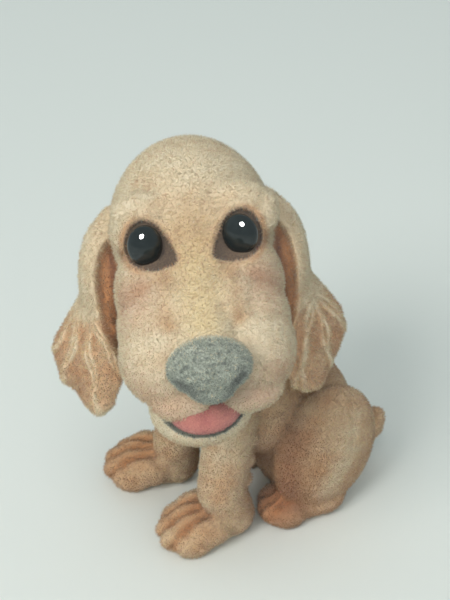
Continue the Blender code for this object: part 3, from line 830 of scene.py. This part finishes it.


def tint_body(points, normals):
    """Tan, paler where the flock is brushed up; painted shade by belly and hind feet; painted haunch
    highlights.
    """
    tint = sprayed(points, TAN)
    tint = spray(tint, PALE, 0.65 * blotches(points, 16, 1))
    for side in (LEFT, RIGHT):
        light, shade = swapped_path(HAUNCH_PAINTED_HIGHLIGHT, side), swapped_path(HAUNCH_PAINTED_SHADE, side)
        # a painted highlight down the haunch, and painted shade along its front edge
        tint = spray(tint, CREAM, 0.75 * wire_tool(points, light, 5))
        tint = spray(tint, BROWN, 0.7 * wire_tool(points, shade, 5))
        # painted shade over the hind foot and its toes, under the haunch
        tint = spray(tint, HIND_FOOT_SHADE_BROWN, 0.85 * thumb(points, (16 * side, 0, 5), (8, 9, 9)))
    # painted shade under the chest and belly, between the forelegs and the haunches
    tint = spray(tint, BROWN, 0.5 * thumb(points, (6, -4, 22), (14, 12, 14)))
    tint = spray(tint, CREAM, 0.6 * thumb(points, (12, -18, 44), (12, 14, 14)))
    for side, wrist, heel, _ in FORELEGS:
        tint = spray(tint, CREAM, 0.75 * wire_tool(points, [(14 * side, -22, 46), wrist, heel], 8))
    tint = spray(tint, ORANGE, 0.35 * blotches(points, 7, 2) ** 2)
    in_grooves = np.clip(sum(wire_tool(points, path, 2.0) for path in grooves), 0, 1)
    tint = spray(tint, GROOVE_ORANGE, 0.65 * in_grooves)
    return spray(tint, PALE, 0.6 * ramp(-points[:, 2], -3.5, -1) * ramp(normals[:, 2], -0.6, 0.2))


# %% The head's colours
FROWN_TAN, BRIDGE_TAN, CHEEK_TAN, MASK_BROWN = "#cdb184", "#bd9468", "#b08468", "#4d3d33"
BRIDGE_EDGE = ((8, -27, 2), (8.5, -37, -5))
CHEEK_LINE = ((14, -26, 0), (17, -24, -9))


def tint_head(points, normals):
    """Cream, with straw along the nose, rosy cheeks and a dark floor to the eye openings."""
    tint = sprayed(points, CREAM)
    tint = spray(tint, FROWN_TAN, 0.75 * thumb(points, (0, -24, 6), (8, 12, 12)))
    tint = spray(tint, STRAW, 0.9 * wire_tool(points, [(0, -20, 4), (0, -40, -4)], 5))
    tint = spray(tint, TAN, 0.35 * thumb(points, (0, -20, 14), (12, 8, 6)))
    for side in (LEFT, RIGHT):
        bridge_edge, cheek_line = swapped_path(BRIDGE_EDGE, side), swapped_path(CHEEK_LINE, side)
        tint = spray(tint, BRIDGE_TAN, 0.7 * wire_tool(points, bridge_edge, 2.0))
        tint = spray(tint, ROSE, 0.9 * thumb(points, (15 * side, -24, -4), (6.5, 9, 6)))
        tint = spray(tint, CHEEK_TAN, 0.6 * wire_tool(points, cheek_line, 2.4))
        tint = spray(tint, ROSE, 0.4 * thumb(points, (17 * side, -42, -20), (10, 9, 7)))
        tint = spray(tint, ROSE, 0.5 * thumb(points, (10 * side, -44, -24), (8, 6, 4)))
    opening = eye_openings(points)
    outer = ramp(np.abs(points[:, 0]), 11, 17)
    tint = spray(tint, ORANGE, (0.2 + 0.4 * outer) * np.exp(-((opening + 0.5) / 0.8) ** 2))
    tint = spray(tint, MASK_BROWN, ramp(opening, -0.1, 0.5))
    tint = spray(tint, TAN, 0.3 * blotches(points, 9, 3) ** 2)
    return spray(tint, TAN, ramp(points[:, 2], -24, -32) * ramp(points[:, 1], -34, -20))


# %% The colours of the ears, the mouth and the nose
EAR_TAN, EAR_ORANGE, STRAND_CREAM = "#d6b08a", "#cf9a6c", "#f0e3c8"
FOLD_ORANGE, FOLD_SHADOW_BROWN = "#bf8350", "#7c5038"
LIP_GREY, TONGUE_PINK, GROOVE_PINK = "#5f6258", "#c07c70", "#b56a66"
NOSE_GREY, NOSE_DARK, NOSE_LIGHT = "#a9b0a2", "#6a716b", "#cdd1c4"
NOSTRIL_BLACK, NOSE_RIM = "#3a3e3b", "#cfd2c0"


def tint_ear(side):
    """Makes the recipe for one ear: tan with pale strands, and an orange fold with painted shadow by the
    cheek.
    """
    def tint_points(points, normals):
        away, angle = from_waist(points, side)
        low = ramp(away, 2, 9) * ramp(np.abs(angle), 80, 62)
        tint = sprayed(points, PALE)
        tint = spray(tint, EAR_TAN, 0.95 * low)
        tint = spray(tint, EAR_ORANGE, 0.75 * low * blotches(points, 8, 5 + side))
        patchy = 0.6 + 0.4 * blotches(points, 3, 8)
        tint = spray(tint, STRAND_CREAM, 0.95 * strands(points, side) * patchy)
        fold = ear_fold(points, normals, side)
        deep = ear_fold(points + np.array((1.8 * side, 0, 0)), normals, side)
        tint = spray(tint, FOLD_ORANGE, 0.95 * fold)
        # painted shadow: dark brown deep in the fold, right beside the cheek
        beside_cheek = 1 - ramp(np.abs(points[:, 0]), 21, 24.5)
        tint = spray(tint, FOLD_SHADOW_BROWN, 0.8 * fold * beside_cheek * deep)
        return spray(tint, PALE, 0.4 * ramp(away, 25, 30))
    return tint_points


def tint_jaw(points, normals):
    """Cream, with the dark lip that runs round the tongue."""
    tint = sprayed(points, CREAM)
    tint = spray(tint, TAN, 0.55 * ramp(-points[:, 2], 33, 40))
    lip = ramp(mouth_reach(points), 1.3, 1.2) * ramp(points[:, 2], -36, -33)
    return spray(tint, LIP_GREY, lip)


def tint_tongue(points, normals):
    """Pink, deeper in the groove."""
    tint = sprayed(points, TONGUE_PINK)
    return spray(tint, GROOVE_PINK, 0.6 * wire_tool(points, TONGUE_GROOVE, 2.0))


def tint_nose(points, normals):
    """Mixed greys, with black nostrils and a pale rim."""
    tint = sprayed(points, NOSE_GREY)
    tint = spray(tint, NOSE_DARK, 0.65 * ramp(blotches(points, 0.9, 21), 0.5, 0.85))
    tint = spray(tint, NOSE_LIGHT, 0.6 * ramp(blotches(points, 1.0, 22), 0.5, 0.85))
    nostrils = sum(wire_tool(points, swapped_path(NOSTRIL, side), 1.6) for side in (LEFT, RIGHT))
    tint = spray(tint, NOSTRIL_BLACK, 1.2 * nostrils)
    return spray(tint, NOSE_RIM, 0.9 * ramp(points[:, 1], -50, -46))


# %% Airbrush every skin
def airbrush(obj, recipe):
    """Works out the coat's colour and stores it on the skin, linear, as Blender keeps colours."""
    tint = recipe(points_of(obj), normals_of(obj))
    opaque = np.hstack([linear(tint), np.ones((len(tint), 1))])
    stored = obj.data.color_attributes.new("tint", "FLOAT_COLOR", "POINT")
    stored.data.foreach_set("color", opaque.astype(np.float32).ravel())
    return tint


skins = [
    (body, tint_body, BODY),
    (head, tint_head, HEAD),
    (ears[LEFT], tint_ear(LEFT), HEAD),
    (ears[RIGHT], tint_ear(RIGHT), HEAD),
    (jaw, tint_jaw, HEAD),
    (tongue, tint_tongue, HEAD),
    (nose, tint_nose, HEAD),
]
tints = {obj.name: airbrush(obj, recipe) for obj, recipe, _ in skins}
print("sprayed", ", ".join(tints))

# %% [markdown]
# ## The glued skin under the fibres
# Between the fibres the glue shows, matt and a little darker than they are. Its colour is the
# airbrushed one broken up by fine speckle, and a fine bump stands for fibres too short to see.

# %% Coat the skins with glue and flock dust
GRAIN = 0.5  # of the speckle, in millimetres


def flock_dust(name, speckle=0.35, dark="#3a332c"):
    """The ground of a flocked coat, coloured by the airbrushed tint."""
    material, tree, shader = finish_named(name, Roughness=0.95, Specular_IOR_Level=0.15,
                                          Sheen_Weight=0.15, Sheen_Roughness=0.6)
    where = node(tree, "TexCoord")
    colour = node(tree, "Attribute", attribute_name="tint")
    grain = node(tree, "TexNoise", {"Vector": where.outputs["Object"]}, Scale=1 / (GRAIN * MM), Detail=2.0)
    share = node(tree, "MapRange", {"Value": grain.outputs["Fac"]})
    share.inputs["From Min"].default_value, share.inputs["From Max"].default_value = 0.35, 0.7
    share.inputs["To Min"].default_value, share.inputs["To Max"].default_value = speckle, 0.0
    mixed = node(tree, "Mix", {"Factor": share.outputs["Result"]}, data_type="RGBA")
    tree.links.new(colour.outputs["Color"], mixed.inputs[6])
    mixed.inputs[7].default_value = rgba(dark)
    tree.links.new(mixed.outputs[2], shader.inputs["Base Color"])
    bump = node(tree, "Bump", {"Height": grain.outputs["Fac"]}, Strength=0.5, Distance=0.15 * MM)
    tree.links.new(bump.outputs["Normal"], shader.inputs["Normal"])
    return material


dusts = {
    "body_coat": flock_dust("tan_flock_ground", dark="#8a6547", speckle=0.25),
    "head_coat": flock_dust("cream_flock_ground", dark="#96805c", speckle=0.2),
    "ear_left_coat": flock_dust("ear_flock_ground", dark="#8a5c3e", speckle=0.25),
    "nose_coat": flock_dust("grey_flock_ground", dark="#3c403c", speckle=0.6),
    "tongue_coat": flock_dust("pink_flock_ground", dark="#8c4a48", speckle=0.3),
}
dusts["ear_right_coat"], dusts["lower_jaw_coat"] = dusts["ear_left_coat"], dusts["head_coat"]
print(len(set(dusts.values())), "grounds for", len(dusts), "skins")

# %% [markdown]
# ## Sowing the flock
# Real flock is cut nylon, half a millimetre to a millimetre long, and each fibre is one dye. These
# fibres are longer, far thicker and sparser than that, so that the fuzz shows. Hair particles
# would be lost on export, so each fibre is a tiny three-sided spike of its own: one is made with an
# operator and copied to places drawn evenly over the skin. Its dye is the nearest of a few dye
# lots to the airbrushed colour, with a little chance, which mixes them as fibres mix.

# %% Dye the fibres
DYES = ("#e6dbc0", "#dccdab", "#dfca98", "#cfb98f", "#d2b596", "#c9a58a", "#c09870", "#b18559",
        "#a66d42", "#8d5c3f", "#6f4936", "#d7d9c9", "#a5ac9e", "#7d837b", "#4c504b", "#cb847b",
        "#b2686a")
FIBRE_LONG, FIBRE_WIDE = 1.05, 0.18


def fibre_shape():
    """One spike: its corners, with the root at 0 and the tip at 1, and its faces."""
    spike = bmesh.new()
    bmesh.ops.create_cone(spike, cap_ends=True, segments=3, radius1=1, radius2=0, depth=1,
                          matrix=Matrix.Translation((0, 0, 0.5)))
    bmesh.ops.remove_doubles(spike, verts=spike.verts, dist=1e-4)
    bmesh.ops.triangulate(spike, faces=spike.faces)
    corners = np.array([v.co for v in spike.verts])
    faces = np.array([[v.index for v in f.verts] for f in spike.faces])
    spike.free()
    return corners, faces


def dye_lot(colour):
    """Nylon fibres of one colour: matt, with a faint sheen."""
    material, _, _ = finish_named("flock_dye_" + colour[1:], Base_Color=rgba(colour), Roughness=0.7,
                                  Specular_IOR_Level=0.25, Sheen_Weight=0.1)
    return material


CORNERS, FACES = fibre_shape()
dye_lots = [dye_lot(colour) for colour in DYES]
print("a fibre has", len(CORNERS), "corners and", len(FACES), "faces")

# %% Draw places over a skin
def scatter(obj, per_mm2, draw):
    """Places drawn evenly over a skin: triangle and share of its three corners."""
    mesh = obj.data
    mesh.calc_loop_triangles()
    corners = np.empty(len(mesh.loop_triangles) * 3, np.int32)
    mesh.loop_triangles.foreach_get("vertices", corners)
    corners = corners.reshape(-1, 3)
    p = points_of(obj)
    a, b, c = (p[corners[:, i]] for i in range(3))
    area = np.linalg.norm(np.cross(b - a, c - a), axis=1) / 2
    count = int(area.sum() * per_mm2)
    chosen = np.searchsorted(np.cumsum(area) / area.sum(), draw.random(count))
    r, s = np.sqrt(draw.random(count)), draw.random(count)
    share = np.stack([1 - r, r * (1 - s), r * s], axis=1)
    return corners[np.minimum(chosen, len(corners) - 1)], share, area.sum()


def spread(values, corners, share):
    """Values at the drawn places, from those at the skin's points."""
    return (values[corners] * share[:, :, None]).sum(1)


def unit(vectors):
    """The same directions, each of length 1."""
    return vectors / np.maximum(np.linalg.norm(vectors, axis=1, keepdims=True), 1e-9)


# %% Plant fibres in one mesh
ASKEW = (0.31, 0.52, 0.79)  # a direction that hardly any fibre has, to work out its sides from


def fibre_mesh(name, roots, lean, length, dye, place):
    """One mesh of many fibres."""
    side = unit(np.cross(lean, np.array(ASKEW)))
    other = np.cross(lean, side)
    x, y, z = CORNERS.T
    spikes = (roots[:, None, :]
              + side[:, None, :] * (x[:, None] * (FIBRE_WIDE / 2))[None]
              + other[:, None, :] * (y[:, None] * (FIBRE_WIDE / 2))[None]
              + lean[:, None, :] * (z[None, :, None] * length[:, None, None]))
    faces = (FACES[None] + (np.arange(len(roots)) * len(CORNERS))[:, None, None]).reshape(-1)
    mesh = bpy.data.meshes.new(name)
    mesh.vertices.add(len(roots) * len(CORNERS))
    mesh.vertices.foreach_set("co", spikes.astype(np.float32).ravel())
    mesh.loops.add(len(faces))
    mesh.loops.foreach_set("vertex_index", faces.astype(np.int32))
    mesh.polygons.add(len(faces) // 3)
    mesh.polygons.foreach_set("loop_start", np.arange(0, len(faces), 3, dtype=np.int32))
    mesh.polygons.foreach_set("material_index", np.repeat(dye, len(FACES)).astype(np.int32))
    mesh.update(calc_edges=True)
    for lot in dye_lots:
        mesh.materials.append(lot)
    mesh.transform(Matrix.Scale(MM, 4) @ place)
    obj = bpy.data.objects.new(name, mesh)
    bpy.context.scene.collection.objects.link(obj)
    return obj


# %% Sow the flock over a skin
FIBRES_A_PIECE = 48000
SHORTEST, LONGEST = 0.65, 1.25  # shares of a skin's usual fibre length
ROOT_DEEP = 0.12  # how far a fibre stands in the glue
TABLE_ROOM = 0.05  # fibres that would reach lower than this are left out
SWIRL, UNRULY = 0.75, 0.35  # how far tufts lean together, and each fibre by itself
MOTTLE, DYE_CHANCE, HUE_CHANCE = 0.09, 0.04, 0.012


def sow(obj, place, per_mm2, length, comb, seed, bald):
    """Flocks a skin and returns the pieces that its fibres make."""
    draw = np.random.default_rng(seed)
    corners, share, area = scatter(obj, per_mm2, draw)
    points = spread(points_of(obj), corners, share)
    normals = unit(spread(normals_of(obj), corners, share))
    tint = spread(tints[obj.name], corners, share)
    keep = ~bald(points, normals)
    points, normals, tint = points[keep], normals[keep], tint[keep]
    swirl = np.stack([blotches(points, 1.3, seed + 30 * axis) for axis in (1, 2, 3)], axis=1) - 0.5
    unruly = draw.normal(scale=UNRULY, size=points.shape)
    lean = unit(normals + comb(points) + SWIRL * swirl + unruly)
    long = length * draw.uniform(SHORTEST, LONGEST, len(points))
    mottle = MOTTLE * (blotches(points, 1.5, seed + 7) - 0.5)[:, None]
    lighter = draw.normal(scale=DYE_CHANCE, size=(len(points), 1))
    off_hue = draw.normal(scale=HUE_CHANCE, size=tint.shape)
    shade = tint + mottle + lighter + off_hue
    palette = np.stack([srgb(colour) for colour in DYES])
    dye = np.concatenate([np.argmin(((part[:, None] - palette) ** 2).sum(2), axis=1)
                          for part in np.array_split(shade, 20)])
    roots = points - normals * ROOT_DEEP
    tips = roots + lean * long[:, None]
    tip_heights = tips @ np.array(place.to_3x3())[2] + place.translation.z
    clear = np.flatnonzero(tip_heights > TABLE_ROOM)
    pieces = []
    for i, batch in enumerate(np.array_split(clear, math.ceil(len(clear) / FIBRES_A_PIECE))):
        name = f"{obj.name.replace('_coat', '')}_flock_{i + 1}"
        pieces.append(fibre_mesh(name, roots[batch], lean[batch], long[batch], dye[batch], place))
    print(obj.name, round(area), "square mm,", len(clear), "fibres in", len(pieces), "pieces")
    return pieces


# %% Say where no fibres grow, and flock every skin
NECK_BARE = 72.0  # the neck above this height turns inside the collar
THICK = 9  # fibres on a square millimetre
NOSE_THICK = THICK * 1.4


def in_bore(points):
    """Inside the collar's bore."""
    foot, top = np.array(on_neck(70)), np.array(on_neck(HEAD_HEIGHT + 1))
    along = top - foot
    share = (points - foot) @ along / (along @ along)
    away = np.linalg.norm(points - foot - share[:, None] * along, axis=1)
    return (away < COLLAR_BORE + 0.4) & (share < 1.02) & (share > -0.2)


def bald_body(points, normals):
    """The seat and the soles, the drain hole and the end of the neck."""
    x, y, z = points.T
    from_drain = np.hypot(x, y - DRAIN[1])
    return (z < 0.15) | (z > NECK_BARE) | (from_drain < DRAIN_RADIUS + 0.1) & (z < 15)


def bald_head(points, normals):
    """The floors of the eye openings and the collar's bore."""
    return (eye_openings(points) > 0.3) | in_bore(points)


def nowhere(points, normals):
    """Fibres grow all over this skin."""
    return np.zeros(len(points), bool)


def brushed(x, y, z):
    """Combs all fibres one way."""
    return lambda points: np.tile(np.array((x, y, z)), (len(points), 1))


flock = {
    "body_coat": sow(body, BODY, THICK, FIBRE_LONG, brushed(0, 0.1, -0.25), 11, bald_body),
    "head_coat": sow(head, HEAD, THICK, FIBRE_LONG, brushed(0, 0.1, -0.2), 12, bald_head),
    "ear_left_coat": sow(ears[LEFT], HEAD, THICK, FIBRE_LONG, brushed(0, 0, -0.4), 13, nowhere),
    "ear_right_coat": sow(ears[RIGHT], HEAD, THICK, FIBRE_LONG, brushed(0, 0, -0.4), 14, nowhere),
    "lower_jaw_coat": sow(jaw, HEAD, THICK, FIBRE_LONG * 0.85, brushed(0, 0, -0.1), 15, nowhere),
    "tongue_coat": sow(tongue, HEAD, NOSE_THICK, FIBRE_LONG * 0.5, brushed(0, 0, 0), 16, nowhere),
    "nose_coat": sow(nose, HEAD, NOSE_THICK, FIBRE_LONG * 0.8, brushed(0, 0, 0), 17, nowhere),
}

# %% [markdown]
# ## Glass, steel and beech
# The beads are almost black glass. The spring is drawn steel wire with a fine mottle, and the plug
# and stem that hold it are turned beech, bare, with rings where the tool passed.

# %% Make the hard finishes
def black_glass():
    """Pressed glass, polished, with a faint haze of darker and lighter glass in it."""
    material, tree, shader = finish_named("pressed_black_glass", Roughness=0.05, IOR=1.47)
    where = node(tree, "TexCoord")
    haze = node(tree, "TexNoise", {"Vector": where.outputs["Object"]}, Scale=1 / (3 * MM), Detail=3.0)
    tone = node(tree, "ValToRGB", {"Fac": haze.outputs["Fac"]})
    tone.color_ramp.elements[0].color, tone.color_ramp.elements[1].color = rgba("#1c2325"), rgba("#2a3234")
    tree.links.new(tone.outputs["Color"], shader.inputs["Base Color"])
    return material


def drawn_steel():
    """Bare spring wire: bright, with the faint roughness that drawing leaves."""
    material, tree, shader = finish_named("drawn_spring_steel", Metallic=1.0, Roughness=0.3)
    where = node(tree, "TexCoord")
    mottle = node(tree, "TexNoise", {"Vector": where.outputs["Object"]}, Scale=1 / (0.8 * MM), Detail=4.0)
    tone = node(tree, "ValToRGB", {"Fac": mottle.outputs["Fac"]})
    tone.color_ramp.elements[0].color, tone.color_ramp.elements[1].color = rgba("#8d8f92"), rgba("#c3c5c8")
    tree.links.new(tone.outputs["Color"], shader.inputs["Base Color"])
    bump = node(tree, "Bump", {"Height": mottle.outputs["Fac"]}, Strength=0.2, Distance=0.02 * MM)
    tree.links.new(bump.outputs["Normal"], shader.inputs["Normal"])
    return material


def turned_beech():
    """Unvarnished beech with grain bands and the lathe tool's rings."""
    material, tree, shader = finish_named("turned_bare_beech", Roughness=0.62)
    where = node(tree, "TexCoord")
    centred = node(tree, "Mapping", {"Vector": where.outputs["Object"]})
    centred.inputs["Location"].default_value = (-neck_x * MM, -neck_y * MM, 0)
    grain = node(tree, "TexWave", {"Vector": centred.outputs["Vector"]}, Scale=1 / (6 * MM),
                 Distortion=4.0, Detail=3.0, wave_type="BANDS", bands_direction="X")
    tone = node(tree, "ValToRGB", {"Fac": grain.outputs["Fac"]})
    tone.color_ramp.elements[0].color, tone.color_ramp.elements[1].color = rgba("#b98f62"), rgba("#d3ac7e")
    tree.links.new(tone.outputs["Color"], shader.inputs["Base Color"])
    turned = node(tree, "TexWave", {"Vector": centred.outputs["Vector"]}, Scale=1 / (1.2 * MM),
                  wave_type="BANDS", bands_direction="Z")
    bump = node(tree, "Bump", {"Height": turned.outputs["Fac"]}, Strength=0.3, Distance=0.03 * MM)
    tree.links.new(bump.outputs["Normal"], shader.inputs["Normal"])
    return material


glass, steel, beech = black_glass(), drawn_steel(), turned_beech()
for finish, names in ((steel, ("spring_lower", "spring_middle", "spring_upper")),
                      (beech, ("neck_plug", "head_stem"))):
    for name in names:
        frame["nodes"][name].data.materials.clear()
        frame["nodes"][name].data.materials.append(finish)
    print(finish.name, "on", ", ".join(names))

# %% [markdown]
# ## Hang everything on its body
# The finished skins go from millimetres to their places. Each one stands for its plain castings
# and takes its fibres along, so that the head nods with its whole coat.

# %% Put the pieces in place
STANDS_FOR = {
    "body_coat": ("body", "tan_flocked_ceramic",
                  ("torso", "foreleg_left", "foreleg_right", "hind_leg_left", "hind_leg_right", "tail")),
    "head_coat": ("head", "cream_flocked_ceramic", ("head_shell",)),
    "ear_left_coat": ("head", "tan_flocked_ceramic", ("ear_left",)),
    "ear_right_coat": ("head", "tan_flocked_ceramic", ("ear_right",)),
    "lower_jaw_coat": ("head", "cream_flocked_ceramic", ("lower_jaw",)),
    "tongue_coat": ("head", "pink_flocked_ceramic", ("tongue",)),
    "nose_coat": ("head", "grey_flocked_ceramic", ("nose",)),
}


def put_in_place(obj, place, material):
    """Moves a finished skin from millimetres about its own middle to where it belongs."""
    obj.data.transform(Matrix.Scale(MM, 4) @ place)
    obj.data.shade_smooth()
    obj.data.materials.clear()
    obj.data.materials.append(material)


for obj, _, place in skins:
    put_in_place(obj, place, dusts[obj.name])
    rides_on, slot, stands_for = STANDS_FOR[obj.name]
    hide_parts(*stands_for)
    for piece in (obj, *flock[obj.name]):
        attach(piece, rides_on)
for eye, name in zip(eyes, ("eye_left", "eye_right")):
    put_in_place(eye, HEAD, glass)
    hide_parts(name)
    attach(eye, "head")

seen_box = [list(corner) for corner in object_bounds()]
grew = [round((seen - cad) / MM, 1) for cad, seen in zip(sum(cad_box, []), sum(seen_box, []))]
print("box grew by", grew)
